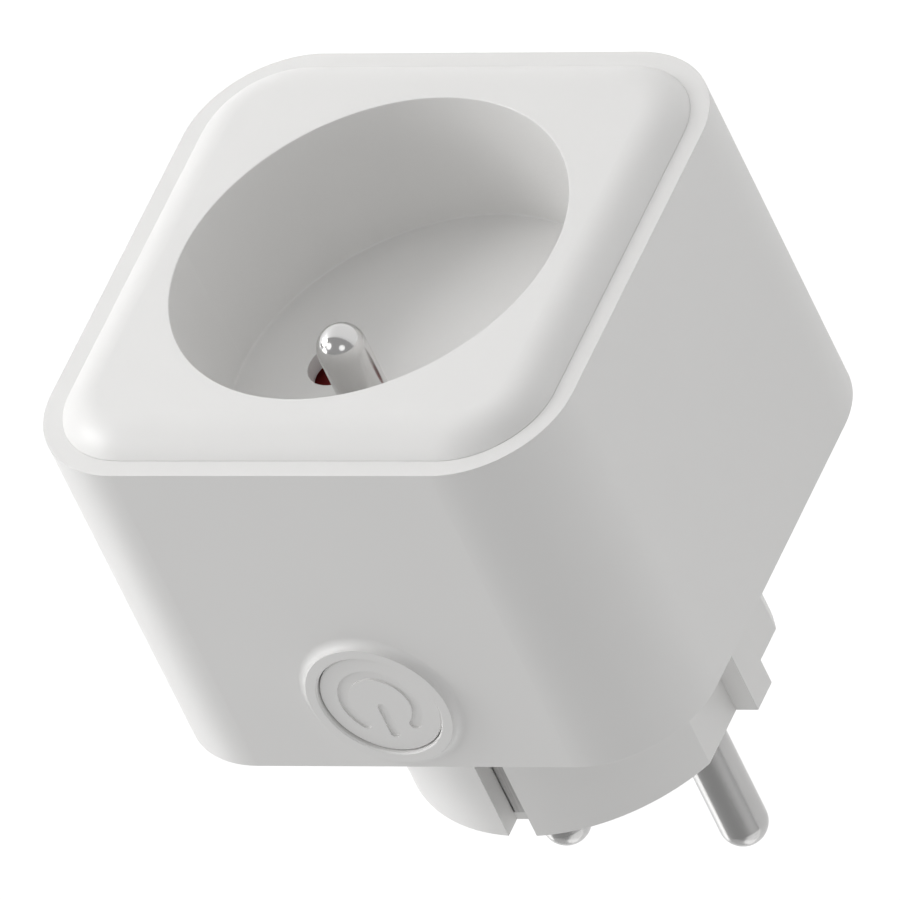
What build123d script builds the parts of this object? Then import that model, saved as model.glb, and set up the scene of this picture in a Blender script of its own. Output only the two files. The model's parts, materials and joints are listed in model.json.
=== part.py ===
from build123d import *
import math
import os

# Plug in power meter: a square smart plug with a type E socket, a hybrid E/F plug and one power button.
# Millimetres. +Y is the way the plug pins point, +Z is the button's side, and the plug is used with the
# socket facing -Y. The origin is the centre of the plug base's end face, midway between the pins.

# ---------------------------------------------------------------- driving dimensions

# Case
CASE_SIDE = 55.5
CASE_CORNER_R = 10.8
CASE_WALL = 2.05
CASE_EDGE_R = 0.08
RIM_Y = -56.7
BACK_Y = -18.65
BACK_WALL = 1.93
BACK_INNER_Y = BACK_Y - BACK_WALL
FIT_GAP = 0.05

# Socket face and its recess
PANEL_RISE = 2.05
PANEL_EDGE_R = 5.0
PANEL_OVERLAP = 0.12
PANEL_Y = RIM_Y - PANEL_RISE
PANEL_SKIRT_DEPTH = 2.5
PANEL_SKIRT_WALL = 2.2
RECESS_DEPTH = 15.0
RECESS_MOUTH_R = 19.75
RECESS_FLOOR_R = 19.55
RECESS_MOUTH_ROUND = 0.1
RECESS_FLOOR_ROUND = 0.15
CUP_OUTER_R = 21.3
FLOOR_THICKNESS = 1.75
FLOOR_Y = PANEL_Y + RECESS_DEPTH
FLOOR_BACK_Y = FLOOR_Y + FLOOR_THICKNESS
SOCKET_HOLE_R = 2.95

# Pins, all of them to the 4.8 mm standard
PIN_R = 2.4
PIN_X = 9.5
PIN_LENGTH = 19.0
PIN_ROOT_R = 2.0
PIN_ROOT_END_Y = -6.0
PIN_COLLAR_R = 3.2
PIN_COLLAR_Y = -0.8
PIN_COLLAR_END_Y = -1.8
PIN_TAIL_R = 1.5
PIN_SLEEVE_R = 4.2
PIN_SLEEVE_END_Y = -10.0
EARTH_Z = 10.0
EARTH_PIN_LENGTH = 14.3
EARTH_NECK_R = 2.0
EARTH_FLANGE_R = 4.0
EARTH_RIVET_R = 1.6
EARTH_RIVET_LENGTH = 1.3
EARTH_FLANGE_Y = FLOOR_BACK_Y + 1.2

# Plug base
BOSS_R = 18.4
BOSS_FLAT_X = 16.15
BOSS_RIB_X = 18.5
BOSS_RIB_HALF = 1.8
BOSS_CAVITY_R = 16.6
BOSS_CAVITY_X = 14.4
BOSS_END_WALL = 4.0
FLANGE_R = 21.0
GROOVE_HALF = 1.5
GROOVE_FLOOR_Z = 16.15
GROOVE_WALL = 1.6
CLIP_HALF = 1.33
CLIP_THICKNESS = 0.7
CLIP_POCKET_HALF = 2.0
CLIP_INNER_Z = GROOVE_FLOOR_Z - CLIP_THICKNESS
CLIP_END_Y = -0.9
RECEPTACLE_R = 2.45
RECEPTACLE_WALL = 0.6
RECEPTACLE_MOUTH_Y = -1.5
RECEPTACLE_END_Y = -16.2
EARTH_BAR_Z = 12.4
EARTH_BAR_OUTER_Z = 13.2
EARTH_BAR_HALF = 2.5
STRIP_THICKNESS = 0.8

# Power button
BUTTON_Y = -27.4
BUTTON_R = 6.05
BUTTON_HOLE_R = 6.15
BUTTON_PROUD = 0.5
BUTTON_BEVEL = 0.12
BUTTON_FLANGE_R = 6.5
BUTTON_FLANGE_HEIGHT = 0.7
BUTTON_STEM_R = 1.6
RING_R = 7.3
RING_FOOT_R = 8.25
RING_HEIGHT = 0.85
RING_BEVEL = 0.15
RING_ROOT = 0.5
SYMBOL_DEPTH = 0.2
SYMBOL_ARC_R = 3.7
SYMBOL_STROKE = 1.12
SYMBOL_GAP_DEG = 45.0
SYMBOL_BAR_WIDTH = 0.95
SYMBOL_BAR_END = 4.3

# Boards
BOARD_FRONT_Y = -24.0
BOARD_BACK_Y = -22.4
BOARD_HALF = 25.2
BUTTON_BOARD_Z = 18.2
BUTTON_BOARD_TOP_Z = 19.2
SWITCH_TOP_Z = 22.7
PLUNGER_TOP_Z = 23.4
PLUNGER_R = 1.7
PLUNGER_BOTTOM_Z = 21.6

# Contacts and shutter
CARRIER_FRONT_Y = -38.8
CARRIER_PLATE = 1.4
CARRIER_WIDTH = 38.4
CARRIER_DEPTH = 19.8
CARRIER_MIDDLE_Z = -4.7
CARRIER_WELL_END_Y = -25.2
CONTACT_WEB_X = 12.5
CONTACT_SHEET = 0.6
CONTACT_LIP_X = 6.7
CONTACT_LEAF_Z = 2.45
CONTACT_TAIL_HALF = 1.2
SHUTTER_HALF_X = 13.4
SHUTTER_HALF_Z = 3.8
SHUTTER_FRONT_GAP = 0.55
SHUTTER_BACK_GAP = 0.15
RAIL_GAP = 0.1
SPRING_COIL_R = 1.0
SPRING_WIRE_R = 0.18
SPRING_TURNS = 8
SPRING_STOP_Z = -13.6
SHUTTER_WEDGE_X = 5.6
CARRIER_SCREW_X = 17.0
CARRIER_SCREW_R = 1.0
CARRIER_SCREW_DEPTH = 4.0
CARRIER_POST_R = 2.4

# Case screws
POST_XZ = 20.3
POST_R = 2.9
POST_END_Y = -25.6
POST_SOCKET_R = 3.2
SCREW_R = 1.25
SCREW_HEAD_R = 2.5
SCREW_HEAD_HEIGHT = 1.6
COUNTERBORE_DEPTH = 2.4

# Relay
RELAY_Z = -17.45
RELAY_HALF_X = 8.9
RELAY_HALF_Z = 5.05
RELAY_TOP_Y = -36.5
RELAY_WALL = 0.6
RELAY_BASE_Y = -26.0
COIL_X = -3.6
COIL_FOOT_Y = RELAY_BASE_Y - 0.8
COIL_BORE_R = 1.5
COIL_R = 3.4
BOBBIN_R = 3.9
YOKE_HALF_Z = 2.6
PIVOT_X = 1.2
PIVOT_Y = -34.7
RELAY_TERMINALS = [(x, RELAY_Z + dz) for x in (-7.4, 6.4) for dz in (-3.6, 3.6)]
RELAY_TERMINAL_R = 0.4
RELAY_CONTACT_Y = -29.4
RELAY_CONTACT_R = 1.1
RELAY_CONTACT_GAP = 0.32

CASE_HALF = CASE_SIDE / 2
INNER_HALF = CASE_HALF - CASE_WALL
CORNERS = [(sx * POST_XZ, sz * POST_XZ) for sx in (-1, 1) for sz in (-1, 1)]

# ---------------------------------------------------------------- helpers


def block(x0, x1, y0, y1, z0, z1):
    """Box between two opposite corners, given in any order."""
    centre = ((x0 + x1) / 2, (y0 + y1) / 2, (z0 + z1) / 2)
    return Pos(*centre) * Box(abs(x1 - x0), abs(y1 - y0), abs(z1 - z0))


def slab(sketch, y0, y1):
    """Sketch drawn in X and Z, extruded along Y from y0 to y1."""
    plane = Plane(origin=(0, y0, 0), x_dir=(1, 0, 0), z_dir=(0, -1, 0))
    return extrude(plane * sketch, amount=-(y1 - y0))


def rod_y(x, z, radius, y0, y1):
    """Cylinder along Y."""
    return slab(Pos(x, z) * Circle(radius), y0, y1)


def rod_z(x, y, radius, z0, z1):
    """Cylinder along Z."""
    return Pos(x, y, (z0 + z1) / 2) * Cylinder(radius, abs(z1 - z0))


def rod_x(y, z, radius, x0, x1):
    """Cylinder along X."""
    return Pos((x0 + x1) / 2, y, z) * Rot(0, 90, 0) * Cylinder(radius, abs(x1 - x0))


def turned(profile, x, z):
    """Profile drawn as (radius, y), turned about an axis along Y through (x, z)."""
    face = make_face(profile)
    return Pos(x, 0, z) * revolve(face, axis=Axis.Y)


def round_end(radius, y_side, y_tip):
    """Hemispherical end of a pin, from its side at y_side to its tip at y_tip on the axis."""
    sign = 1 if y_tip > y_side else -1
    middle = (radius * math.sin(math.pi / 4), y_side + sign * radius * math.cos(math.pi / 4))
    return ThreePointArc((radius, y_side), middle, (0, y_tip))


def rounded_square(half, corner_r):
    return RectangleRounded(2 * half, 2 * half, corner_r)


def edges_at_y(body, y):
    """Edges that lie in the plane at this y."""
    return body.edges().filter_by(lambda edge: abs(edge.center().Y - y) < 0.01)


# ---------------------------------------------------------------- case


def boss_outline(grow=0.0):
    """Outline of the plug base: a circle with two side flats, and a narrow rib on each flat."""
    round_part = Circle(BOSS_R + grow) & Rectangle(2 * (BOSS_FLAT_X + grow), 4 * BOSS_R)
    return round_part + Rectangle(2 * (BOSS_RIB_X + grow), 2 * (BOSS_RIB_HALF + grow))


def button_ring():
    """Raised ring round the button: flat top, bevelled bore, hollow outer slope running into the wall."""
    run = RING_FOOT_R - RING_R
    slope_r = (run ** 2 + RING_HEIGHT ** 2) / (2 * RING_HEIGHT)
    outline = Polyline(
        (RING_FOOT_R, 0),
        (RING_FOOT_R, -RING_ROOT),
        (BUTTON_HOLE_R, -RING_ROOT),
        (BUTTON_HOLE_R, RING_HEIGHT - RING_BEVEL),
        (BUTTON_HOLE_R + RING_BEVEL, RING_HEIGHT),
        (RING_R, RING_HEIGHT),
    )
    slope = RadiusArc((RING_R, RING_HEIGHT), (RING_FOOT_R, 0), -slope_r)
    face = make_face(Plane.XZ * (outline + slope))
    return Pos(0, BUTTON_Y, CASE_HALF) * revolve(face, axis=Axis.Z)


def outer_shell():
    """Square box, open at the front, with a back wall that the plug base passes through."""
    body = slab(rounded_square(CASE_HALF, CASE_CORNER_R), RIM_Y, BACK_Y)
    body = fillet(edges_at_y(body, BACK_Y), CASE_EDGE_R)
    body -= slab(rounded_square(INNER_HALF, CASE_CORNER_R - CASE_WALL), RIM_Y - 1, BACK_INNER_Y)
    body -= slab(boss_outline(FIT_GAP), BACK_INNER_Y - 1, BACK_Y + 1)
    body += button_ring()
    body -= rod_z(0, BUTTON_Y, BUTTON_HOLE_R, INNER_HALF - 1, CASE_HALF + 0.1)
    for x, z in CORNERS:
        body += rod_y(x, z, POST_SOCKET_R, POST_END_Y, BACK_INNER_Y)
    for x, z in CORNERS:
        body -= rod_y(x, z, SCREW_R + 0.15, POST_END_Y - 1, BACK_Y + 1)
        body -= rod_y(x, z, SCREW_HEAD_R + 0.25, BACK_Y - COUNTERBORE_DEPTH, BACK_Y + 1)
    return body


def recess_profile():
    """Half section of the round recess: rounded mouth edge, slightly tapered wall, rounded floor corner."""
    mouth_edge = RECESS_MOUTH_R + RECESS_MOUTH_ROUND
    wall_start = PANEL_Y + RECESS_MOUTH_ROUND
    wall_end = FLOOR_Y - RECESS_FLOOR_ROUND
    floor_edge = RECESS_FLOOR_R - RECESS_FLOOR_ROUND
    outline = Polyline((floor_edge, FLOOR_Y), (0, FLOOR_Y), (0, PANEL_Y - 0.1), (mouth_edge, PANEL_Y - 0.1))
    outline += Line((mouth_edge, PANEL_Y - 0.1), (mouth_edge, PANEL_Y))
    outline += RadiusArc((mouth_edge, PANEL_Y), (RECESS_MOUTH_R, wall_start), RECESS_MOUTH_ROUND)
    outline += Line((RECESS_MOUTH_R, wall_start), (RECESS_FLOOR_R, wall_end))
    outline += RadiusArc((RECESS_FLOOR_R, wall_end), (floor_edge, FLOOR_Y), -RECESS_FLOOR_ROUND)
    return outline


def socket_face():
    """Cushioned panel seated on the rim, with the round recess and the posts for the case screws."""
    foot_half = INNER_HALF + PANEL_OVERLAP
    foot_corner = CASE_CORNER_R - CASE_WALL + PANEL_OVERLAP
    inset = PANEL_EDGE_R - math.sqrt(PANEL_EDGE_R ** 2 - (PANEL_EDGE_R - PANEL_RISE) ** 2)
    pillow = slab(rounded_square(foot_half + inset, foot_corner + inset), PANEL_Y, RIM_Y + 6)
    pillow = fillet(edges_at_y(pillow, PANEL_Y), PANEL_EDGE_R)
    pillow &= block(-CASE_SIDE, CASE_SIDE, PANEL_Y - 1, RIM_Y, -CASE_SIDE, CASE_SIDE)
    skirt_end = RIM_Y + PANEL_SKIRT_DEPTH
    skirt_half = INNER_HALF - FIT_GAP
    skirt_corner = CASE_CORNER_R - CASE_WALL - FIT_GAP
    hollow_half = skirt_half - PANEL_SKIRT_WALL
    skirt = slab(rounded_square(skirt_half, skirt_corner), RIM_Y, skirt_end)
    skirt -= slab(rounded_square(hollow_half, skirt_corner - PANEL_SKIRT_WALL), RIM_Y, skirt_end)
    body = pillow + skirt
    body += rod_y(0, 0, CUP_OUTER_R, RIM_Y - 0.5, FLOOR_BACK_Y)
    for x, z in CORNERS:
        body += rod_y(x, z, POST_R, RIM_Y - 0.5, POST_END_Y)
    for x in (-CARRIER_SCREW_X, CARRIER_SCREW_X):
        body += rod_y(x, 0, CARRIER_POST_R, FLOOR_BACK_Y - 0.5, CARRIER_FRONT_Y)

    body -= turned(recess_profile(), 0, 0)
    for x in (-PIN_X, PIN_X):
        body -= rod_y(x, 0, SOCKET_HOLE_R, FLOOR_Y - 1, FLOOR_BACK_Y + 1)
    body -= rod_y(0, EARTH_Z, EARTH_NECK_R, FLOOR_Y - 1, FLOOR_BACK_Y + 1)
    for x in (-CARRIER_SCREW_X, CARRIER_SCREW_X):
        body -= rod_y(x, 0, CARRIER_SCREW_R, CARRIER_FRONT_Y - CARRIER_SCREW_DEPTH, CARRIER_FRONT_Y + 1)
    for x, z in CORNERS:
        body -= rod_y(x, z, SCREW_R, POST_END_Y - 7, POST_END_Y + 1)
    return body


def plug_base():
    """Boss that enters the wall socket: hollow, with a flange inside the case and two earth grooves."""
    body = slab(boss_outline(), BACK_INNER_Y, 0)
    body += rod_y(0, 0, FLANGE_R, BOARD_BACK_Y, BACK_INNER_Y)
    cavity = Circle(BOSS_CAVITY_R) & Rectangle(2 * BOSS_CAVITY_X, 4 * BOSS_R)
    hollow = slab(cavity, BOARD_BACK_Y, -BOSS_END_WALL)
    wall_half = GROOVE_HALF + GROOVE_WALL
    wall_foot = CLIP_INNER_Z - GROOVE_WALL
    for side in (-1, 1):
        z0, z1 = side * wall_foot, side * (BOSS_R + 1)
        hollow -= block(-wall_half, wall_half, BACK_INNER_Y, 0, z0, z1)
        hollow -= rod_y(side * PIN_X, 0, PIN_SLEEVE_R, PIN_SLEEVE_END_Y, 0)
    hollow -= rod_y(0, EARTH_Z, PIN_SLEEVE_R, RECEPTACLE_END_Y, 0)
    body -= hollow
    for side in (-1, 1):
        z0, z1 = side * GROOVE_FLOOR_Z, side * (BOSS_R + 1)
        body -= block(-GROOVE_HALF, GROOVE_HALF, BACK_Y, 1, z0, z1)
        z0, z1 = side * CLIP_INNER_Z, side * GROOVE_FLOOR_Z
        body -= block(-CLIP_POCKET_HALF, CLIP_POCKET_HALF, BACK_Y, CLIP_END_Y, z0, z1)
        body -= block(-CLIP_HALF, CLIP_HALF, BOARD_BACK_Y - 1, BACK_Y + 1, z0, z1)
        body -= plug_pin(side)
    body -= rod_y(0, EARTH_Z, RECEPTACLE_R + RECEPTACLE_WALL, RECEPTACLE_END_Y - 1, RECEPTACLE_MOUTH_Y)
    body -= rod_y(0, EARTH_Z, RECEPTACLE_R + 0.25, RECEPTACLE_MOUTH_Y - 1, 1)
    return body


def screw(x, z, head_y, shank_r, shank_end, head_r, head_height, recess):
    """Pan head screw along Y with a cross recess; the head's flat underside is at head_y."""
    outer = head_y + head_height
    body = rod_y(x, z, shank_r, shank_end, head_y)
    body += rod_y(x, z, head_r, head_y, outer)
    body -= block(x - 0.3, x + 0.3, outer - recess, outer + 1, z - 0.6 * head_r, z + 0.6 * head_r)
    body -= block(x - 0.6 * head_r, x + 0.6 * head_r, outer - recess, outer + 1, z - 0.3, z + 0.3)
    return body


def case_screws():
    """Four screws through the back wall into the socket face's posts."""
    seat = BACK_Y - COUNTERBORE_DEPTH
    end = POST_END_Y - 6.4
    return [screw(x, z, seat, SCREW_R, end, SCREW_HEAD_R, SCREW_HEAD_HEIGHT, 0.8) for x, z in CORNERS]


# ---------------------------------------------------------------- pins and earth parts


def plug_pin(side):
    """Solid round plug pin: hemispherical tip, a root with a collar inside the boss, and a solder tail."""
    shape = Polyline(
        (0, PIN_LENGTH),
        (0, BOARD_FRONT_Y),
        (PIN_TAIL_R, BOARD_FRONT_Y),
        (PIN_TAIL_R, PIN_ROOT_END_Y),
        (PIN_ROOT_R, PIN_ROOT_END_Y),
        (PIN_ROOT_R, PIN_COLLAR_END_Y),
        (PIN_COLLAR_R, PIN_COLLAR_END_Y),
        (PIN_COLLAR_R, PIN_COLLAR_Y),
        (PIN_ROOT_R, PIN_COLLAR_Y),
        (PIN_ROOT_R, 0),
        (PIN_R, 0),
        (PIN_R, PIN_LENGTH - PIN_R),
    )
    return turned(shape + round_end(PIN_R, PIN_LENGTH - PIN_R, PIN_LENGTH), side * PIN_X, 0)


def socket_earth_pin():
    """Earth pin standing in the recess: a neck through the floor, a clamping flange and a rivet."""
    tip = FLOOR_Y - EARTH_PIN_LENGTH
    rivet_end = EARTH_FLANGE_Y + EARTH_RIVET_LENGTH
    shape = Polyline(
        (0, tip),
        (0, rivet_end),
        (EARTH_RIVET_R, rivet_end),
        (EARTH_RIVET_R, EARTH_FLANGE_Y),
        (EARTH_FLANGE_R, EARTH_FLANGE_Y),
        (EARTH_FLANGE_R, FLOOR_BACK_Y),
        (EARTH_NECK_R, FLOOR_BACK_Y),
        (EARTH_NECK_R, FLOOR_Y),
        (PIN_R, FLOOR_Y),
        (PIN_R, tip + PIN_R),
    )
    return turned(shape + round_end(PIN_R, tip + PIN_R, tip), 0, EARTH_Z)


def earth_receptacle():
    """Slotted tube in the plug base that takes the wall socket's earth pin."""
    outer = RECEPTACLE_R + RECEPTACLE_WALL
    body = rod_y(0, EARTH_Z, outer, RECEPTACLE_END_Y, RECEPTACLE_MOUTH_Y)
    body -= rod_y(0, EARTH_Z, RECEPTACLE_R, RECEPTACLE_END_Y + 0.6, RECEPTACLE_MOUTH_Y + 1)
    body -= block(-outer - 1, outer + 1, -13.0, RECEPTACLE_MOUTH_Y + 1, EARTH_Z - 0.25, EARTH_Z + 0.25)
    return body


def earth_busbar():
    """Bent strip from the socket earth pin's rivet back to the receptacle in the plug base."""
    front, back = EARTH_FLANGE_Y, RECEPTACLE_END_Y
    half = EARTH_BAR_HALF
    body = block(-3.0, 3.0, front, front + STRIP_THICKNESS, 7.0, EARTH_BAR_OUTER_Z)
    body += block(-half, half, front, back, EARTH_BAR_Z, EARTH_BAR_OUTER_Z)
    body += block(-half, half, back - STRIP_THICKNESS, back, 8.0, EARTH_BAR_OUTER_Z)
    body -= rod_y(0, EARTH_Z, EARTH_RIVET_R, front - 1, front + 2)
    return body


def earth_clip(side):
    """Flat spring strip in the pocket under an earth groove, running back into the case."""
    z0, z1 = side * CLIP_INNER_Z, side * GROOVE_FLOOR_Z
    return block(-CLIP_HALF, CLIP_HALF, BACK_INNER_Y - STRIP_THICKNESS, CLIP_END_Y, z0, z1)


def earth_strap():
    """Strip across the back of the plug base that joins the two earth clips to the busbar."""
    y0, y1 = BACK_INNER_Y - STRIP_THICKNESS, BACK_INNER_Y
    body = block(-2.0, 2.0, y0, y1, -CLIP_INNER_Z, CLIP_INNER_Z)
    body += block(-3.5, 3.5, y0, y1, EARTH_BAR_Z - 1.0, EARTH_BAR_OUTER_Z + 1.0)
    body -= block(-EARTH_BAR_HALF, EARTH_BAR_HALF, y0, y1, EARTH_BAR_Z, EARTH_BAR_OUTER_Z)
    return body


# ---------------------------------------------------------------- button


def power_symbol():
    """Open ring with round ends and a bar through its gap, the gap towards +Y."""
    half = SYMBOL_STROKE / 2
    ring = Circle(SYMBOL_ARC_R + half) - Circle(SYMBOL_ARC_R - half)
    reach = 2 * SYMBOL_ARC_R
    spread = reach * math.tan(math.radians(SYMBOL_GAP_DEG))
    ring -= make_face(Polyline((0, 0), (spread, reach), (-spread, reach), (0, 0)))
    for side in (-1, 1):
        angle = math.radians(90 + side * SYMBOL_GAP_DEG)
        ring += Pos(SYMBOL_ARC_R * math.cos(angle), SYMBOL_ARC_R * math.sin(angle)) * Circle(half)
    bar_half = SYMBOL_BAR_WIDTH / 2
    bar = Pos(0, SYMBOL_BAR_END / 2) * Rot(0, 0, 90) * SlotOverall(SYMBOL_BAR_END, 2 * bar_half)
    return ring + bar


def button_cap():
    """Round cap with an engraved power symbol, a retaining flange and a stem to the switch."""
    top = CASE_HALF + BUTTON_PROUD
    flange_top = INNER_HALF - 0.12
    flange_bottom = flange_top - BUTTON_FLANGE_HEIGHT
    cap = rod_z(0, BUTTON_Y, BUTTON_R, flange_bottom, top)
    cap = chamfer(cap.edges().group_by(Axis.Z)[-1], BUTTON_BEVEL)
    cap += rod_z(0, BUTTON_Y, BUTTON_FLANGE_R, flange_bottom, flange_top)
    cap += rod_z(0, BUTTON_Y, BUTTON_STEM_R, PLUNGER_TOP_Z, flange_bottom)
    cap -= Pos(0, BUTTON_Y, top - SYMBOL_DEPTH) * extrude(power_symbol(), amount=1)
    return cap


def button_board():
    """Small board under the button, soldered edge-on to the main board."""
    return block(-9, 9, BUTTON_Y - 9.6, BOARD_FRONT_Y, BUTTON_BOARD_Z, BUTTON_BOARD_TOP_Z)


def tact_switch():
    """Six millimetre push switch: body with four feet and a bore for its plunger."""
    body = block(-3, 3, BUTTON_Y - 3, BUTTON_Y + 3, BUTTON_BOARD_TOP_Z, SWITCH_TOP_Z)
    for sx in (-1, 1):
        for sy in (-1, 1):
            x0, x1 = sx * 2.6, sx * 3.8
            y = BUTTON_Y + sy * 2.2
            body += block(x0, x1, y - 0.35, y + 0.35, BUTTON_BOARD_TOP_Z, BUTTON_BOARD_TOP_Z + 0.4)
    body -= rod_z(0, BUTTON_Y, PLUNGER_R + 0.06, PLUNGER_BOTTOM_Z - 0.9, SWITCH_TOP_Z + 1)
    return body


def switch_plunger():
    return rod_z(0, BUTTON_Y, PLUNGER_R, PLUNGER_BOTTOM_Z, PLUNGER_TOP_Z)


def status_led():
    """Indicator beside the switch: base with a domed lens."""
    x0, y0 = 5.2, BUTTON_Y - 0.8
    body = block(x0, x0 + 3.0, y0, y0 + 1.6, BUTTON_BOARD_TOP_Z, BUTTON_BOARD_TOP_Z + 0.6)
    body += block(x0 + 0.5, x0 + 2.5, y0 + 0.1, y0 + 1.5, BUTTON_BOARD_TOP_Z, BUTTON_BOARD_TOP_Z + 1.1)
    return body


# ---------------------------------------------------------------- contacts and shutter


def socket_contact(side):
    """Channel of sheet brass that grips a plug pin between two leaves, with a tail into the board."""
    web, lip = side * CONTACT_WEB_X, side * CONTACT_LIP_X
    outer = web + side * CONTACT_SHEET
    front, back = CARRIER_FRONT_Y + CARRIER_PLATE + 0.2, -26.0
    leaf0, leaf1 = CONTACT_LEAF_Z, CONTACT_LEAF_Z + CONTACT_SHEET
    body = block(web, outer, front, back, -leaf1, leaf1)
    body += block(lip, outer, front, back, leaf0, leaf1)
    body += block(lip, outer, front, back, -leaf1, -leaf0)
    body += block(web, outer, back, BOARD_BACK_Y, -CONTACT_TAIL_HALF, CONTACT_TAIL_HALF)
    return body


def contact_carrier():
    """Plate behind the shutter with two wells for the contacts, slide rails and a spring stop."""
    plate_back = CARRIER_FRONT_Y + CARRIER_PLATE
    body = slab(
        Pos(0, CARRIER_MIDDLE_Z) * RectangleRounded(CARRIER_WIDTH, CARRIER_DEPTH, 3),
        CARRIER_FRONT_Y,
        plate_back,
    )
    rail = SHUTTER_HALF_X + RAIL_GAP
    for side in (-1, 1):
        body += block(side * 5.1, side * 14.6, plate_back, CARRIER_WELL_END_Y, -4.3, 4.3)
        body += block(side * rail, side * (rail + 1.0), FLOOR_BACK_Y, CARRIER_FRONT_Y, -11.6, 4.6)
    body += block(-2.0, 2.0, FLOOR_BACK_Y, CARRIER_FRONT_Y, SPRING_STOP_Z - 1.0, SPRING_STOP_Z)
    for side in (-1, 1):
        body -= block(side * 6.4, side * 13.4, plate_back, CARRIER_WELL_END_Y + 1, -3.15, 3.15)
        body -= rod_y(side * PIN_X, 0, SOCKET_HOLE_R, CARRIER_FRONT_Y - 1, plate_back + 1)
        body -= rod_y(side * CARRIER_SCREW_X, 0, CARRIER_SCREW_R + 0.1, CARRIER_FRONT_Y - 1, plate_back + 1)
    return body


def carrier_screws():
    """Two small screws that hold the carrier to the back of the recess floor."""
    seat = CARRIER_FRONT_Y + CARRIER_PLATE
    end = CARRIER_FRONT_Y - CARRIER_SCREW_DEPTH + 0.4
    places = (-CARRIER_SCREW_X, CARRIER_SCREW_X)
    return [screw(x, 0, seat, CARRIER_SCREW_R, end, 1.9, 1.3, 0.6) for x in places]


def shutter():
    """Slider with a wedge over each pin hole, so that two pins entering together push it aside."""
    front = FLOOR_BACK_Y + SHUTTER_FRONT_GAP
    back = CARRIER_FRONT_Y - SHUTTER_BACK_GAP
    body = block(-SHUTTER_HALF_X, SHUTTER_HALF_X, back - 1.0, back, -SHUTTER_HALF_Z, 1.2)
    wedge = Polyline(
        (front, -SHUTTER_HALF_Z),
        (back - 0.65, SHUTTER_HALF_Z),
        (back, SHUTTER_HALF_Z),
        (back, -SHUTTER_HALF_Z),
        (front, -SHUTTER_HALF_Z),
    )
    for x0 in (-SHUTTER_HALF_X, SHUTTER_WEDGE_X):
        plane = Plane(origin=(x0, 0, 0), x_dir=(0, 1, 0), z_dir=(1, 0, 0))
        body += extrude(plane * make_face(wedge), amount=SHUTTER_HALF_X - SHUTTER_WEDGE_X)
    return body


def shutter_spring():
    """Compression spring between the shutter and the stop on the carrier."""
    length = -SHUTTER_HALF_Z - 0.15 - SPRING_STOP_Z - 2 * SPRING_WIRE_R
    y = (FLOOR_BACK_Y + CARRIER_FRONT_Y) / 2 + 0.3
    start = SPRING_STOP_Z + SPRING_WIRE_R
    path = Helix(pitch=length / SPRING_TURNS, height=length, radius=SPRING_COIL_R, center=(0, y, start))
    section = Plane(origin=path @ 0, z_dir=path % 0) * Circle(SPRING_WIRE_R)
    return sweep(section, path=path, is_frenet=True)


# ---------------------------------------------------------------- relay


def relay_box(inset, y0, y1):
    """Box with the relay's outline, drawn in by inset on its four sides."""
    x = RELAY_HALF_X - inset
    z = RELAY_HALF_Z - inset
    return block(-x, x, y0, y1, RELAY_Z - z, RELAY_Z + z)


def relay_base():
    """Relay base with four pins that pass through the main board."""
    body = relay_box(RELAY_WALL, RELAY_BASE_Y, BOARD_FRONT_Y - 0.2)
    for x, z in RELAY_TERMINALS:
        body += rod_y(x, z, RELAY_TERMINAL_R, BOARD_FRONT_Y - 0.3, BOARD_BACK_Y + 0.6)
    return body


def relay_case():
    """Open box that covers the relay, its long edges slightly rounded."""
    body = relay_box(0, RELAY_TOP_Y, BOARD_FRONT_Y)
    body = fillet(body.edges().filter_by(Axis.Y), 0.5)
    return body - relay_box(RELAY_WALL, RELAY_TOP_Y + RELAY_WALL, BOARD_FRONT_Y + 1)


def relay_coil():
    """Bobbin and winding, turned about the core's axis."""
    shape = Polyline(
        (COIL_BORE_R, COIL_FOOT_Y),
        (BOBBIN_R, COIL_FOOT_Y),
        (BOBBIN_R, COIL_FOOT_Y - 0.6),
        (COIL_R, COIL_FOOT_Y - 0.6),
        (COIL_R, PIVOT_Y + 1.0),
        (BOBBIN_R, PIVOT_Y + 1.0),
        (BOBBIN_R, PIVOT_Y + 0.5),
        (COIL_BORE_R, PIVOT_Y + 0.5),
        (COIL_BORE_R, COIL_FOOT_Y),
    )
    return turned(shape, COIL_X, RELAY_Z)


def relay_core():
    """Steel core through the coil, joined to the yoke that stands beside it."""
    z0, z1 = RELAY_Z - YOKE_HALF_Z, RELAY_Z + YOKE_HALF_Z
    body = rod_y(COIL_X, RELAY_Z, COIL_BORE_R, RELAY_BASE_Y, PIVOT_Y + 0.4)
    body += block(COIL_X - COIL_BORE_R, PIVOT_X, RELAY_BASE_Y, COIL_FOOT_Y, z0, z1)
    body += block(PIVOT_X - 0.5, PIVOT_X + 0.3, RELAY_BASE_Y, PIVOT_Y + 0.35, z0, z1)
    return body


def relay_armature():
    """Rocking steel plate over the coil, with the moving contact blade hanging from its edge."""
    z0, z1 = RELAY_Z - YOKE_HALF_Z, RELAY_Z + YOKE_HALF_Z
    body = block(COIL_X - COIL_R, PIVOT_X + 1.3, PIVOT_Y - 0.5, PIVOT_Y, z0, z1)
    body += block(PIVOT_X + 0.9, PIVOT_X + 1.3, PIVOT_Y - 0.5, -28.2, RELAY_Z - 1.8, RELAY_Z + 1.8)
    body += rod_x(RELAY_CONTACT_Y, RELAY_Z, RELAY_CONTACT_R, PIVOT_X + 1.3, PIVOT_X + 1.9)
    return body


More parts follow.
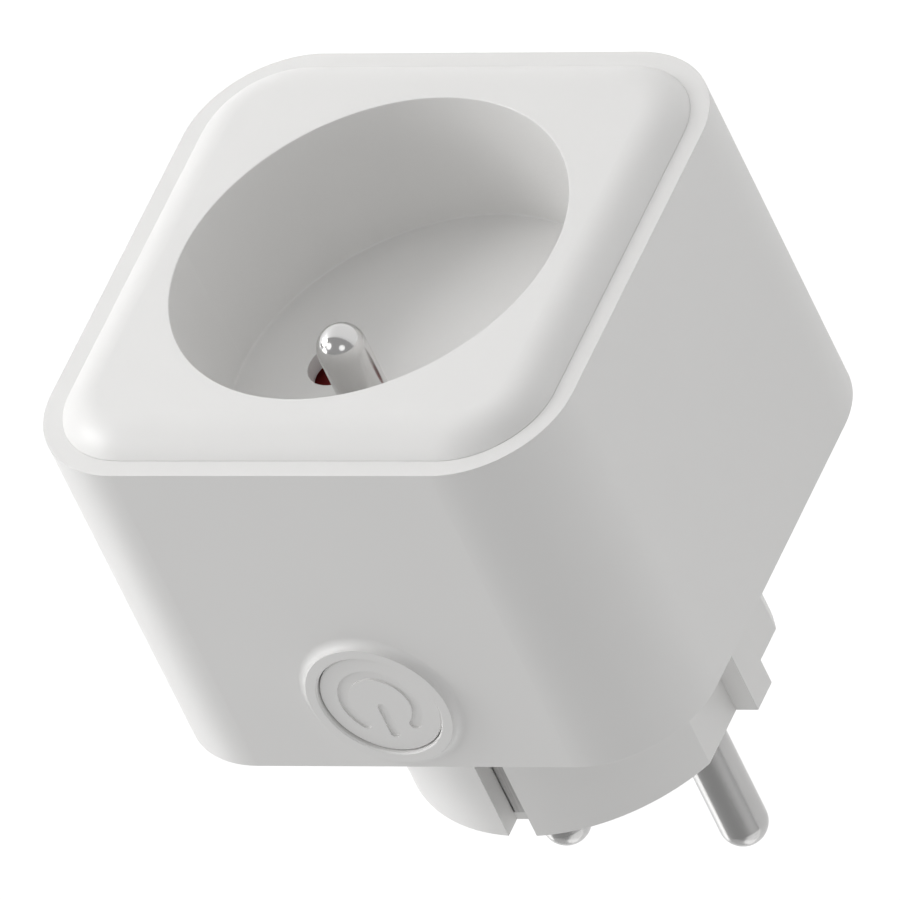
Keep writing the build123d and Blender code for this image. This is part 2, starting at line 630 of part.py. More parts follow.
def relay_contact():
    """Fixed contact blade standing on the relay base."""
    x0 = PIVOT_X + 1.9 + RELAY_CONTACT_GAP
    body = block(x0 + 0.6, x0 + 1.1, -31.5, RELAY_BASE_Y, RELAY_Z - 2.0, RELAY_Z + 2.0)
    body += rod_x(RELAY_CONTACT_Y, RELAY_Z, RELAY_CONTACT_R, x0, x0 + 0.6)
    return body


# ---------------------------------------------------------------- boards and components


def main_board():
    """Board across the case behind the contacts, notched for the screw posts and the button."""
    outline = rounded_square(BOARD_HALF, 8.2)
    for x, z in CORNERS:
        outline -= Pos(x, z) * Circle(POST_SOCKET_R + 0.4)
    outline -= Pos(0, BOARD_HALF) * Rectangle(15.2, 4)
    body = slab(outline, BOARD_FRONT_Y, BOARD_BACK_Y)
    front, back = BOARD_FRONT_Y - 1, BOARD_BACK_Y + 1
    for side in (-1, 1):
        body -= rod_y(side * PIN_X, 0, PIN_TAIL_R, front, back)
        x0, x1 = side * CONTACT_WEB_X, side * (CONTACT_WEB_X + CONTACT_SHEET)
        body -= block(x0, x1, front, back, -CONTACT_TAIL_HALF, CONTACT_TAIL_HALF)
    slot = EARTH_BAR_HALF + 0.2
    body -= block(-slot, slot, front, back, EARTH_BAR_Z - 0.2, EARTH_BAR_OUTER_Z + 0.2)
    for x, z in RELAY_TERMINALS:
        body -= rod_y(x, z, RELAY_TERMINAL_R, front, back)
    return body


def film_capacitor():
    """Interference suppression capacitor: a moulded block standing on the board."""
    body = block(15.6, 21.6, BOARD_FRONT_Y - 11, BOARD_FRONT_Y - 0.4, -6.5, 6.5)
    body = fillet(body.edges().filter_by(Axis.Y), 0.6)
    for z in (-5, 5):
        body += rod_y(18.6, z, 0.3, BOARD_FRONT_Y - 0.4, BOARD_FRONT_Y)
    return body


def electrolytic(x, z):
    """Round can capacitor with a crimp groove near its base and a bevelled top."""
    base = BOARD_FRONT_Y
    shape = Polyline(
        (0, base),
        (3.9, base),
        (3.9, base - 1.6),
        (3.6, base - 2.0),
        (4.0, base - 2.4),
        (4.0, base - 11.7),
        (3.7, base - 12.0),
        (0, base - 12.0),
        (0, base),
    )
    return turned(shape, x, z)


def supply_capacitors():
    """Input and output capacitors of the power supply."""
    return [electrolytic(-14.5, -15.3), electrolytic(-14.5, 15.3)]


def inductor_core():
    """Drum core of the switching inductor."""
    base = BOARD_FRONT_Y
    shape = Polyline(
        (0, base),
        (3.8, base),
        (3.8, base - 1.2),
        (1.8, base - 1.2),
        (1.8, base - 7.8),
        (3.8, base - 7.8),
        (3.8, base - 9.0),
        (0, base - 9.0),
        (0, base),
    )
    return turned(shape, 14.5, -15.3)


def inductor_winding():
    """Winding between the drum core's cheeks."""
    base = BOARD_FRONT_Y
    outer = rod_y(14.5, -15.3, 3.5, base - 7.8, base - 1.2)
    return outer - rod_y(14.5, -15.3, 1.8, base - 8, base - 1)


def varistor():
    """Surge protection disc standing on two leads."""
    y, z = BOARD_FRONT_Y - 5.6, 14.0
    body = rod_x(y, z, 4.5, 12.7, 16.3)
    body = fillet(body.edges(), 1.0)
    for dz in (-2.5, 2.5):
        body += rod_y(14.5, z + dz, 0.3, y, BOARD_FRONT_Y)
    return body


def fuse_resistor():
    """Upright wire-wound resistor with its lead folded back to the board."""
    x, z = -18.6, 7.6
    top = BOARD_FRONT_Y - 9.0
    body = rod_y(x, z, 1.6, top, BOARD_FRONT_Y - 0.8)
    body = fillet(body.edges(), 0.5)
    body += rod_y(x, z, 0.3, top - 0.8, BOARD_FRONT_Y)
    body += block(x - 0.3, x + 0.3, top - 1.1, top - 0.5, z - 2.9, z + 0.3)
    body += rod_y(x, z - 2.6, 0.3, top - 0.8, BOARD_FRONT_Y)
    return body


def surface_chip(x, z, width, depth, height, leads, front):
    """Moulded chip with gull-wing leads on two sides; front is True on the board's -Y side."""
    seat = BOARD_FRONT_Y if front else BOARD_BACK_Y
    away = -1 if front else 1
    y0, y1 = seat + away * 0.1, seat + away * height
    body = block(x - width / 2, x + width / 2, y0, y1, z - depth / 2, z + depth / 2)
    pitch = width / leads
    for i in range(leads):
        lead_x = x - width / 2 + (i + 0.5) * pitch
        for side in (-1, 1):
            z0, z1 = z + side * (depth / 2 - 0.3), z + side * (depth / 2 + 0.9)
            ly0, ly1 = seat, seat + away * 0.3
            body += block(lead_x - 0.2, lead_x + 0.2, ly0, ly1, z0, z1)
    return body


def metering_shunt():
    """Bent resistance strip that carries the load current, on the plug side of the board."""
    y0 = BOARD_BACK_Y
    body = block(3.0, 9.0, y0 + 1.2, y0 + 1.7, -10.4, -8.4)
    for x in (3.0, 8.5):
        body += block(x, x + 0.5, y0, y0 + 1.7, -10.4, -8.4)
    return body


def wifi_board():
    """Radio module's board, standing on the main board beside the case wall."""
    return block(-24.9, -24.1, BOARD_FRONT_Y - 15.5, BOARD_FRONT_Y, -11.5, 11.5)


def wifi_shield():
    """Pressed cover over the radio chip, with a folded top edge."""
    body = block(-24.1, -21.9, BOARD_FRONT_Y - 14.0, BOARD_FRONT_Y - 2.0, -10.5, 5.0)
    body = chamfer(body.edges().group_by(Axis.X)[-1], 0.3)
    return body


# ---------------------------------------------------------------- output


def solids_of(shape):
    """List of separate solids in a shape or in a list of shapes."""
    items = shape if isinstance(shape, list) else [shape]
    return [solid for item in items for solid in item.solids()]


def nodes():
    """Every sub-part by name."""
    return {
        "outer_shell": outer_shell(),
        "socket_face": socket_face(),
        "plug_base": plug_base(),
        "case_screws": case_screws(),
        "plug_pin_live": plug_pin(-1),
        "plug_pin_neutral": plug_pin(1),
        "socket_earth_pin": socket_earth_pin(),
        "earth_receptacle": earth_receptacle(),
        "earth_busbar": earth_busbar(),
        "earth_strap": earth_strap(),
        "earth_clip_upper": earth_clip(1),
        "earth_clip_lower": earth_clip(-1),
        "button_cap": button_cap(),
        "switch_plunger": switch_plunger(),
        "tact_switch": tact_switch(),
        "button_board": button_board(),
        "status_led": status_led(),
        "live_contact": socket_contact(-1),
        "neutral_contact": socket_contact(1),
        "contact_carrier": contact_carrier(),
        "carrier_screws": carrier_screws(),
        "shutter": shutter(),
        "shutter_spring": shutter_spring(),
        "main_board": main_board(),
        "relay_base": relay_base(),
        "relay_case": relay_case(),
        "relay_coil": relay_coil(),
        "relay_core": relay_core(),
        "relay_armature": relay_armature(),
        "relay_contact": relay_contact(),
        "film_capacitor": film_capacitor(),
        "supply_capacitors": supply_capacitors(),
        "inductor_core": inductor_core(),
        "inductor_winding": inductor_winding(),
        "varistor": varistor(),
        "fuse_resistor": fuse_resistor(),
        "bridge_rectifier": surface_chip(-18.4, -2.5, 4.6, 6.4, 2.5, 2, True),
        "power_chip": surface_chip(6.0, 7.0, 4.9, 3.9, 1.6, 4, False),
        "metering_chip": surface_chip(-6.0, -7.0, 4.9, 3.9, 1.6, 4, False),
        "metering_shunt": metering_shunt(),
        "wifi_board": wifi_board(),
        "wifi_shield": wifi_shield(),
    }


def main():
    os.makedirs("parts", exist_ok=True)
    for name, shape in nodes().items():
        solids = solids_of(shape)
        shape_out = solids[0] if len(solids) == 1 else Compound(children=solids)
        export_step(shape_out, f"parts/{name}.step")


main()
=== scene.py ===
import json
import math

import bpy
from mathutils import Matrix, Vector

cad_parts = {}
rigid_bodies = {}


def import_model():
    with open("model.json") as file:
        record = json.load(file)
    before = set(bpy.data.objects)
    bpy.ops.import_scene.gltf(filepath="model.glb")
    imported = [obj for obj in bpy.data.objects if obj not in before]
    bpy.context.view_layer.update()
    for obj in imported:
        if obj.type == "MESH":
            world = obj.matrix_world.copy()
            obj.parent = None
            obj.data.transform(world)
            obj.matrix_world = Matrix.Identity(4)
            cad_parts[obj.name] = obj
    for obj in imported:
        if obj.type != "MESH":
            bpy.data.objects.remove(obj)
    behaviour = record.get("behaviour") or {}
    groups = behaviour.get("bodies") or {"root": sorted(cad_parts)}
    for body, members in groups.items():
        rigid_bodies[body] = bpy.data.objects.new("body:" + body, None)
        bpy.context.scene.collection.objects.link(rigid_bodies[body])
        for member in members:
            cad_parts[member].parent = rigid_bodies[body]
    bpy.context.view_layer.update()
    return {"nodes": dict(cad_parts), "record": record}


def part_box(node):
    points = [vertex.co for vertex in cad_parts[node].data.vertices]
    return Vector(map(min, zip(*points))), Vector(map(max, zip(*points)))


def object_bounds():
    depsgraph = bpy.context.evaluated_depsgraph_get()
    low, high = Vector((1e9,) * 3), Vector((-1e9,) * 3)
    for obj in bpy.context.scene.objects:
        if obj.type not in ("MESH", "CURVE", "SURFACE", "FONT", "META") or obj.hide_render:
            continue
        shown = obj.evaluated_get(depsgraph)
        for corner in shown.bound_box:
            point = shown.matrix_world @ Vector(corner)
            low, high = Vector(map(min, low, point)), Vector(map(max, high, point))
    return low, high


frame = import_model()

MM = 0.001
SLOT_OF_NODE = {entry["node"]: entry["material_slot"] for entry in frame["record"]["subparts"]}
COLOUR_OF_SLOT = {entry["slot"]: tuple(entry["base_color"][:3]) for entry in frame["record"]["materials"]}

# ---------------------------------------------------------------- node helpers

BEVEL_SAMPLES = 6
# Patch size and largest share of the lighter edge colour, partly wear and partly painted highlight.
WEAR_AND_HIGHLIGHT_PATCH_MM = 1.2
MOST_WEAR_AND_HIGHLIGHT = 0.5
WEAR_POLISH = 0.08


def new_material(name):
    """Material with a Principled shader, its node tree and the shader."""
    material = bpy.data.materials.new(name)
    material.use_nodes = True
    tree = material.node_tree
    return material, tree, tree.nodes["Principled BSDF"]


def shade(colour, factor):
    """Colour made darker or lighter by factor."""
    return tuple(min(1.0, factor * channel) for channel in colour)


def object_coords(tree, stretch=(1, 1, 1)):
    """Object coordinates, scaled along each axis."""
    coords = tree.nodes.new("ShaderNodeTexCoord")
    mapping = tree.nodes.new("ShaderNodeMapping")
    mapping.inputs["Scale"].default_value = stretch
    tree.links.new(coords.outputs["Object"], mapping.inputs["Vector"])
    return mapping.outputs["Vector"]


def stretched_along(axis, factor):
    """Scale that makes a texture 1 / factor times longer along one axis."""
    scale = [1.0, 1.0, 1.0]
    scale["XYZ".index(axis)] = factor
    return scale


def axis_value(tree, axis):
    """Object coordinate along one axis, in metres."""
    split = tree.nodes.new("ShaderNodeSeparateXYZ")
    tree.links.new(object_coords(tree), split.inputs["Vector"])
    return split.outputs[axis]


def noise(tree, vector, size_mm, detail=2.0, roughness=0.5):
    """Noise whose features are about size_mm across, from 0 to 1."""
    node = tree.nodes.new("ShaderNodeTexNoise")
    node.inputs["Scale"].default_value = 1 / (size_mm * MM)
    node.inputs["Detail"].default_value = detail
    node.inputs["Roughness"].default_value = roughness
    tree.links.new(vector, node.inputs["Vector"])
    return node.outputs["Fac"]


def cells(tree, vector, size_mm, randomness=1.0):
    """Distance from the middle of each cell about size_mm across, in cell sizes."""
    node = tree.nodes.new("ShaderNodeTexVoronoi")
    node.inputs["Scale"].default_value = 1 / (size_mm * MM)
    node.inputs["Randomness"].default_value = randomness
    tree.links.new(vector, node.inputs["Vector"])
    return node.outputs["Distance"]


def bands(tree, vector, axis, pitch_mm, distortion=0.0):
    """Sine bands across one axis, one every pitch_mm, from 0 to 1."""
    node = tree.nodes.new("ShaderNodeTexWave")
    node.bands_direction = axis
    node.inputs["Scale"].default_value = math.pi / (10 * pitch_mm * MM)
    node.inputs["Distortion"].default_value = distortion
    tree.links.new(vector, node.inputs["Vector"])
    return node.outputs["Fac"]


def math_node(tree, operation, *values):
    """Math node; each value is a number or a socket."""
    node = tree.nodes.new("ShaderNodeMath")
    node.operation = operation
    for socket, value in zip(node.inputs, values):
        if isinstance(value, (int, float)):
            socket.default_value = value
        else:
            tree.links.new(value, socket)
    return node.outputs["Value"]


def remap(tree, value, low, high, from_low=0.3, from_high=0.7):
    """Value moved from one range to another, and held inside it."""
    node = tree.nodes.new("ShaderNodeMapRange")
    node.inputs["From Min"].default_value = from_low
    node.inputs["From Max"].default_value = from_high
    node.inputs["To Min"].default_value = low
    node.inputs["To Max"].default_value = high
    tree.links.new(value, node.inputs["Value"])
    return node.outputs["Result"]


def blend_colours(tree, factor, first, second):
    """Colour between two colours, each a triple or a socket, by factor."""
    node = tree.nodes.new("ShaderNodeMix")
    node.data_type = "RGBA"
    for key, colour in (("A", first), ("B", second)):
        socket = next(s for s in node.inputs if s.name == key and s.type == "RGBA")
        if isinstance(colour, tuple):
            socket.default_value = (*colour, 1)
        else:
            tree.links.new(colour, socket)
    tree.links.new(factor, node.inputs["Factor"])
    return next(s for s in node.outputs if s.type == "RGBA")


def bump(tree, height, depth_mm, normal=None):
    """Bump normal from a height, depth_mm from lowest to highest."""
    node = tree.nodes.new("ShaderNodeBump")
    node.inputs["Distance"].default_value = depth_mm * MM
    tree.links.new(height, node.inputs["Height"])
    if normal is not None:
        tree.links.new(normal, node.inputs["Normal"])
    return node.outputs["Normal"]


def soft_edges(tree, radius_mm):
    """Normal that rounds crisp edges by radius_mm, and a mask that is 1 on those edges."""
    bevel = tree.nodes.new("ShaderNodeBevel")
    bevel.samples = BEVEL_SAMPLES
    bevel.inputs["Radius"].default_value = radius_mm * MM
    geometry = tree.nodes.new("ShaderNodeNewGeometry")
    dot = tree.nodes.new("ShaderNodeVectorMath")
    dot.operation = "DOT_PRODUCT"
    tree.links.new(bevel.outputs["Normal"], dot.inputs[0])
    tree.links.new(geometry.outputs["Normal"], dot.inputs[1])
    return bevel.outputs["Normal"], remap(tree, dot.outputs["Value"], 1.0, 0.0, 0.8, 0.99)


def facing(tree, axis):
    """How squarely the surface faces along one axis, from 0 to 1."""
    geometry = tree.nodes.new("ShaderNodeNewGeometry")
    split = tree.nodes.new("ShaderNodeSeparateXYZ")
    tree.links.new(geometry.outputs["Normal"], split.inputs["Vector"])
    return math_node(tree, "ABSOLUTE", split.outputs[axis])


def finish_surface(tree, shader, colour, roughness, height, depth_mm, edge_mm, edge_wear_and_highlight):
    """Joins colour, roughness and bump to the shader, with edges lightened: partly wear, partly painted
    highlight.
    """
    normal, edge = soft_edges(tree, edge_mm)
    patches = noise(tree, object_coords(tree), WEAR_AND_HIGHLIGHT_PATCH_MM, detail=3)
    wear_and_highlight_edge = math_node(tree, "MULTIPLY", edge, remap(tree, patches, 0.0, MOST_WEAR_AND_HIGHLIGHT, 0.4, 0.65))
    # painted highlight: edges take a lighter colour, partly as wear and partly as the light an edge catches
    wear_and_highlight_colour = blend_colours(tree, wear_and_highlight_edge, colour, edge_wear_and_highlight)
    worn_gloss = math_node(tree, "MULTIPLY_ADD", wear_and_highlight_edge, -WEAR_POLISH, roughness)
    tree.links.new(wear_and_highlight_colour, shader.inputs["Base Color"])
    tree.links.new(worn_gloss, shader.inputs["Roughness"])
    tree.links.new(bump(tree, height, depth_mm, normal), shader.inputs["Normal"])


# ---------------------------------------------------------------- materials

TIN = (0.55, 0.55, 0.52)
ALUMINIUM = (0.70, 0.70, 0.70)
# Lighter edge colour of the capacitor sleeve: partly wear, partly painted highlight.
SLEEVE_WEAR_AND_HIGHLIGHT = (0.50, 0.50, 0.50)
SLEEVE_STRIPE = (0.55, 0.55, 0.52)
FIBRE_DARK = (0.42, 0.38, 0.20)
FIBRE_LIGHT = (0.56, 0.52, 0.30)
# Lighter edge colour of the board: partly wear, partly painted highlight.
FIBRE_WEAR_AND_HIGHLIGHT = (0.60, 0.56, 0.36)
RING_BROWN = (0.35, 0.16, 0.05)
RING_BLACK = (0.02, 0.02, 0.02)
RING_GOLD = (0.55, 0.38, 0.10)

TRACK_PITCH_MM = 1.3
VIA_PITCH_MM = 2.6
FIBRE_PITCH_MM = 0.2
SLEEVE_RIM = 0.4 * MM
STRIPE_OFFSET = 3.3 * MM


def moulded_plastic(slot, roughness, grain_mm=0.35, grain_depth=0.0015, edge_mm=0.07):
    """Moulded plastic: spark-eroded grain, slow changes of tone and gloss, and edges polished by use and
    lightened: partly wear, partly painted highlight.
    """
    material, tree, shader = new_material(slot)
    colour = COLOUR_OF_SLOT[slot]
    where = object_coords(tree)
    slow = noise(tree, where, 14, detail=3)
    fine = noise(tree, where, grain_mm, detail=4, roughness=0.6)
    tint = blend_colours(tree, slow, shade(colour, 0.985), shade(colour, 1.01))
    gloss = remap(tree, slow, roughness - 0.03, roughness + 0.03)
    # painted highlight: edges 4 % lighter, partly as wear
    finish_surface(tree, shader, tint, gloss, fine, grain_depth, edge_mm, shade(colour, 1.04))
    return material


def drawn_metal(slot, roughness, along="Y", streak_mm=0.12, streak_depth=0.0003, contrast=0.12, tone=1.0):
    """Metal drawn or rolled along one axis: fine streaks, slight tarnish, and edges lightened: partly wear,
    partly painted highlight.
    """
    material, tree, shader = new_material(slot)
    colour = shade(COLOUR_OF_SLOT[slot], tone)
    streaks = noise(tree, object_coords(tree, stretched_along(along, 0.03)), streak_mm, detail=3)
    tarnish = noise(tree, object_coords(tree), 5, detail=3)
    tint = blend_colours(tree, tarnish, shade(colour, 0.92), colour)
    tint = blend_colours(tree, remap(tree, streaks, 0.0, contrast), tint, shade(colour, 0.5))
    gloss = remap(tree, streaks, 0.85 * roughness, 1.2 * roughness)
    shader.inputs["Metallic"].default_value = 1.0
    # painted highlight: edges 15 % lighter, partly as wear
    finish_surface(tree, shader, tint, gloss, streaks, streak_depth, 0.06, shade(colour, 1.15))
    return material


def polished_metal(slot, roughness):
    """Polished plating: near mirror, with hair scratches round it and faint clouding."""
    material, tree, shader = new_material(slot)
    colour = COLOUR_OF_SLOT[slot]
    scratches = noise(tree, object_coords(tree, stretched_along("Y", 25)), 1.5, detail=2)
    clouding = noise(tree, object_coords(tree), 4, detail=3)
    tint = blend_colours(tree, clouding, shade(colour, 0.97), colour)
    gloss = remap(tree, clouding, 0.8 * roughness, 1.3 * roughness)
    shader.inputs["Metallic"].default_value = 1.0
    # painted highlight: edges 10 % lighter, partly as wear
    finish_surface(tree, shader, tint, gloss, scratches, 0.00005, 0.03, shade(colour, 1.1))
    return material


def wound_wire(slot, pitch_mm=0.22):
    """Enamelled wire wound round an axis along Y: one ridge a turn, painted shade between turns, glossy
    enamel.
    """
    material, tree, shader = new_material(slot)
    colour = COLOUR_OF_SLOT[slot]
    turns = bands(tree, object_coords(tree), "Y", pitch_mm, distortion=0.4)
    uneven = noise(tree, object_coords(tree), 2.5, detail=2)
    # painted shade: the colour darkens between the turns, where shade falls
    tint = blend_colours(tree, turns, shade(colour, 0.35), colour)
    gloss = remap(tree, uneven, 0.22, 0.36)
    shader.inputs["Metallic"].default_value = 0.8
    shader.inputs["Coat Weight"].default_value = 0.4
    # painted highlight: edges 20 % lighter, partly as wear
    finish_surface(tree, shader, tint, gloss, turns, 0.08, 0.05, shade(colour, 1.2))
    return material


def circuit_board(slot, across):
    """Solder mask over copper tracks, tinned vias, and bare glass fibre at the board's cut edges."""
    material, tree, shader = new_material(slot)
    colour = COLOUR_OF_SLOT[slot]
    first, second = [axis for axis in "XYZ" if axis != across]
    where = object_coords(tree)
    regions = noise(tree, where, 9, detail=1)
    runs_one = bands(tree, where, first, TRACK_PITCH_MM)
    runs_two = bands(tree, where, second, TRACK_PITCH_MM)
    one_way = math_node(tree, "GREATER_THAN", runs_one, 0.6)
    other_way = math_node(tree, "GREATER_THAN", runs_two, 0.6)
    choice = math_node(tree, "GREATER_THAN", regions, 0.5)
    difference = math_node(tree, "SUBTRACT", one_way, other_way)
    copper = math_node(tree, "MULTIPLY_ADD", difference, choice, other_way)
    vias = math_node(tree, "LESS_THAN", cells(tree, where, VIA_PITCH_MM, randomness=0.5), 0.11)
    edge = math_node(tree, "LESS_THAN", facing(tree, across), 0.5)
    fibre = blend_colours(tree, bands(tree, where, across, FIBRE_PITCH_MM), FIBRE_DARK, FIBRE_LIGHT)
    tint = blend_colours(tree, copper, colour, shade(colour, 1.8))
    tint = blend_colours(tree, vias, tint, TIN)
    tint = blend_colours(tree, edge, tint, fibre)
    gloss = math_node(tree, "MULTIPLY_ADD", edge, 0.45, remap(tree, regions, 0.25, 0.38))
    # painted highlight: edges lightened, partly as wear
    finish_surface(tree, shader, tint, gloss, copper, 0.03, 0.05, FIBRE_WEAR_AND_HIGHLIGHT)
    return material


def dipped_epoxy(slot, roughness, ripple_mm=1.6):
    """Dipped or cast coat: shallow ripples, small pits and gloss that varies."""
    material, tree, shader = new_material(slot)
    colour = COLOUR_OF_SLOT[slot]
    where = object_coords(tree)
    ripple = noise(tree, where, ripple_mm, detail=2)
    pits = remap(tree, cells(tree, where, 0.7), 0.0, 1.0, 0.02, 0.12)
    height = math_node(tree, "MULTIPLY_ADD", pits, 0.3, ripple)
    tint = blend_colours(tree, ripple, shade(colour, 0.8), shade(colour, 1.1))
    gloss = remap(tree, ripple, roughness - 0.06, roughness + 0.08)
    shader.inputs["Coat Weight"].default_value = 0.2
    # painted highlight: edges 30 % lighter, partly as wear
    finish_surface(tree, shader, tint, gloss, height, 0.03, 0.1, shade(colour, 1.3))
    return material


def colour_coded_resistor(slot):
    """Cement coat with three painted rings round the body."""
    material, tree, shader = new_material(slot)
    colour = COLOUR_OF_SLOT[slot]
    low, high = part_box("fuse_resistor")
    length = high.y - low.y
    ring_half = 0.05 * length
    along = axis_value(tree, "Y")
    grain = noise(tree, object_coords(tree), 0.3, detail=3)
    tint = blend_colours(tree, grain, shade(colour, 0.8), shade(colour, 1.15))
    for place, paint in ((0.30, RING_BROWN), (0.48, RING_BLACK), (0.66, RING_GOLD)):
        from_ring = math_node(tree, "SUBTRACT", along, low.y + place * length)
        ring = math_node(tree, "LESS_THAN", math_node(tree, "ABSOLUTE", from_ring), ring_half)
        tint = blend_colours(tree, ring, tint, paint)
    gloss = remap(tree, grain, 0.45, 0.6)
    # painted highlight: edges 40 % lighter, partly as wear
    finish_surface(tree, shader, tint, gloss, grain, 0.02, 0.08, shade(colour, 1.4))
    return material


def sleeved_can(slot):
    """Capacitor can: glossy shrink sleeve with a pale stripe down one side, bare aluminium at its top."""
    material, tree, shader = new_material(slot)
    colour = COLOUR_OF_SLOT[slot]
    low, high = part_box("supply_capacitors")
    can_middle = (low.x + high.x) / 2
    wrinkle = noise(tree, object_coords(tree, stretched_along("Y", 0.2)), 1.0, detail=2)
    tint = blend_colours(tree, wrinkle, shade(colour, 0.8), shade(colour, 1.3))
    stripe = math_node(tree, "GREATER_THAN", axis_value(tree, "X"), can_middle + STRIPE_OFFSET)
    tint = blend_colours(tree, stripe, tint, SLEEVE_STRIPE)
    bare = math_node(tree, "LESS_THAN", axis_value(tree, "Y"), low.y + SLEEVE_RIM)
    tint = blend_colours(tree, bare, tint, ALUMINIUM)
    gloss = remap(tree, wrinkle, 0.2, 0.34)
    tree.links.new(bare, shader.inputs["Metallic"])
    # painted highlight: edges lightened, partly as wear
    finish_surface(tree, shader, tint, gloss, wrinkle, 0.01, 0.08, SLEEVE_WEAR_AND_HIGHLIGHT)
    return material


def clear_lens(slot):
    """Clear epoxy lens with faint swirls."""
    material, tree, shader = new_material(slot)
    colour = COLOUR_OF_SLOT[slot]
    swirls = noise(tree, object_coords(tree), 0.8, detail=2)
    tint = blend_colours(tree, swirls, shade(colour, 0.9), colour)
    gloss = remap(tree, swirls, 0.06, 0.14)
    shader.inputs["Transmission Weight"].default_value = 0.6
    finish_surface(tree, shader, tint, gloss, swirls, 0.004, 0.08, colour)
    return material


def make_materials():
    """One material for each slot in the record."""
    made = [
        moulded_plastic("white_case", 0.42),
        moulded_plastic("white_face", 0.35, edge_mm=0.1),
        moulded_plastic("white_base", 0.42),
        moulded_plastic("white_button", 0.42, edge_mm=0.05),
        moulded_plastic("red_plastic", 0.40, grain_mm=0.25, grain_depth=0.002),
        moulded_plastic("carrier_plastic", 0.50, grain_mm=0.5, grain_depth=0.004),
        moulded_plastic("black_plastic", 0.55, grain_mm=0.15, grain_depth=0.004, edge_mm=0.05),
        moulded_plastic("switch_body", 0.45, grain_mm=0.2, grain_depth=0.003, edge_mm=0.05),
        moulded_plastic("relay_plastic", 0.25, grain_mm=0.8, grain_depth=0.003),
        moulded_plastic("yellow_film", 0.40, grain_mm=0.3, grain_depth=0.004, edge_mm=0.12),
        moulded_plastic("ferrite", 0.60, grain_mm=0.12, grain_depth=0.012, edge_mm=0.08),
        drawn_metal("plug_nickel", 0.22, contrast=0.04, tone=0.88),
        drawn_metal("contact_nickel", 0.35),
        drawn_metal("clip_nickel", 0.38, streak_mm=0.16, streak_depth=0.002, contrast=0.35),
        drawn_metal("brass", 0.30),
        drawn_metal("screw_steel", 0.35, along="X"),
        drawn_metal("spring_steel", 0.35, along="Z"),
        drawn_metal("shield_tin", 0.30, along="Z"),
        drawn_metal("core_steel", 0.45),
        drawn_metal("shunt_alloy", 0.40, along="X"),
        polished_metal("bright_nickel", 0.14),
        wound_wire("copper_winding"),
        circuit_board("circuit_board", across="Y"),
        circuit_board("radio_board", across="X"),
        dipped_epoxy("blue_epoxy", 0.25),
        colour_coded_resistor("green_epoxy"),
        sleeved_can("capacitor_sleeve"),
        clear_lens("led_lens"),
    ]
    return {material.name: material for material in made}


for node in frame["nodes"].values():
    node.data.materials.clear()
bpy.data.batch_remove(list(bpy.data.materials))
material_of_slot = make_materials()
for node_name, slot_name in SLOT_OF_NODE.items():
    frame["nodes"][node_name].data.materials.append(material_of_slot[slot_name])

# ---------------------------------------------------------------- camera

# A long lens far away, so that the view is nearly parallel. It sees the socket's side, the button's side
# and the -X side, with the edge between the first two running level across the picture.
LENS = 1600.0
SENSOR = 36.0
VIEW_WIDTH = 83.05 * MM
TARGET = Vector((-5.88, -42.11, 9.77)) * MM
CAMERA_RIGHT = (-math.sqrt(3) / 2, math.sqrt(2) / 4, -math.sqrt(2) / 4)
CAMERA_UP = (0, -1 / math.sqrt(2), -1 / math.sqrt(2))


def aim(obj, right, up):
    """Turns obj so that its X is right and its Y is up, and returns the direction from what it sees to it."""
    right = Vector(right).normalized()
    up = Vector(up).normalized()
    back = right.cross(up)
    obj.matrix_world = Matrix((right, up, back)).transposed().to_4x4()
    return back


camera = bpy.data.objects.new("camera", bpy.data.cameras.new("camera"))
bpy.context.scene.collection.objects.link(camera)
camera.data.lens = LENS
camera.data.sensor_width = SENSOR
toward_camera = aim(camera, CAMERA_RIGHT, CAMERA_UP)
camera.location = TARGET + toward_camera * VIEW_WIDTH * LENS / SENSOR
camera.data.clip_start = 0.1
camera.data.clip_end = 20
bpy.context.scene.camera = camera

# ---------------------------------------------------------------- floor and light

LIGHT_DISTANCE = 0.8
LIGHT_AIM = Vector((0, -35, 0)) * MM
SMALL = 0.35
LARGE = 0.9
WORLD_GLOW = 0.38
FLOOR_REACH = 6.0
FLOOR_GAP = 0.5 * MM

# name, azimuth and elevation in degrees, power in watts, width in metres
LIGHTS = (
    ("key_light", 324, 8, 2.5, SMALL),
    ("key_high", 342, 32, 0.66, SMALL),
    ("front_high", 306, 32, 0.4, SMALL),
    ("side_light", 36, 8, 0.45, SMALL),
    ("side_low", 0, 8, 0.5, SMALL),
    ("back_left", 72, 8, 0.6, LARGE),
    ("back_right", 108, 8, 1.6, LARGE),
    ("top_light", 0, 88, 0.42, SMALL),
    ("front_light", 231, 38, 0.3, SMALL),
)


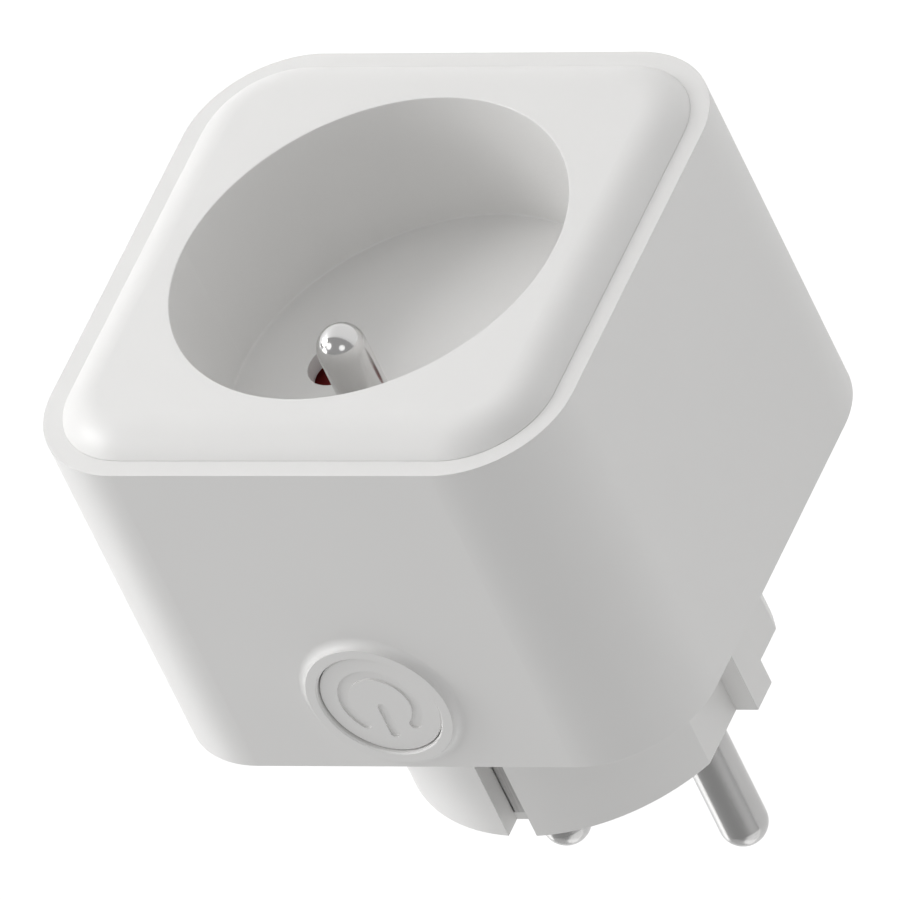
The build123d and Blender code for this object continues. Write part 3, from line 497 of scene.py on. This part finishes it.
def area_light(name, azimuth, elevation, power, size):
    """Round soft light aimed at LIGHT_AIM. Azimuth turns from +X towards +Y."""
    light = bpy.data.lights.new(name, "AREA")
    light.shape = "DISK"
    light.size = size
    light.energy = power
    obj = bpy.data.objects.new(name, light)
    bpy.context.scene.collection.objects.link(obj)
    a = math.radians(azimuth)
    e = math.radians(elevation)
    direction = Vector((math.cos(a) * math.cos(e), math.sin(a) * math.cos(e), math.sin(e)))
    obj.location = LIGHT_AIM + direction * LIGHT_DISTANCE
    obj.rotation_euler = direction.to_track_quat("Z", "Y").to_euler()


def floor_plane(name, z, albedo, glow):
    """Large level sheet with an even glow."""
    mesh = bpy.data.meshes.new(name)
    corners = [(x * FLOOR_REACH, y * FLOOR_REACH, z) for x, y in ((-1, -1), (1, -1), (1, 1), (-1, 1))]
    mesh.from_pydata(corners, [], [(0, 1, 2, 3)])
    sheet = bpy.data.objects.new(name, mesh)
    bpy.context.scene.collection.objects.link(sheet)
    material, _, shader = new_material(name)
    shader.inputs["Base Color"].default_value = (albedo, albedo, albedo, 1)
    shader.inputs["Emission Color"].default_value = (1, 1, 1, 1)
    shader.inputs["Emission Strength"].default_value = glow
    mesh.materials.append(material)
    return sheet


world = bpy.data.worlds.new("studio")
bpy.context.scene.world = world
world.use_nodes = True
background = world.node_tree.nodes["Background"]
background.inputs["Color"].default_value = (1, 1, 1, 1)
background.inputs["Strength"].default_value = WORLD_GLOW
bpy.context.scene.view_settings.view_transform = "Standard"

for light_row in LIGHTS:
    area_light(*light_row)

# Two floors: the upper one is the bright one that the camera sees, and surfaces neither catch its light nor
# mirror it. The lower one, hidden from the camera, gives the soft light of a pale table.
floor_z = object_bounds()[0][2]
seen_floor = floor_plane("floor", floor_z, albedo=0.12, glow=0.97)
seen_floor.visible_diffuse = False
seen_floor.visible_glossy = False
seen_floor.visible_shadow = False
bounce_floor = floor_plane("floor_bounce", floor_z - FLOOR_GAP, albedo=0.9, glow=0.28)
bounce_floor.visible_camera = False
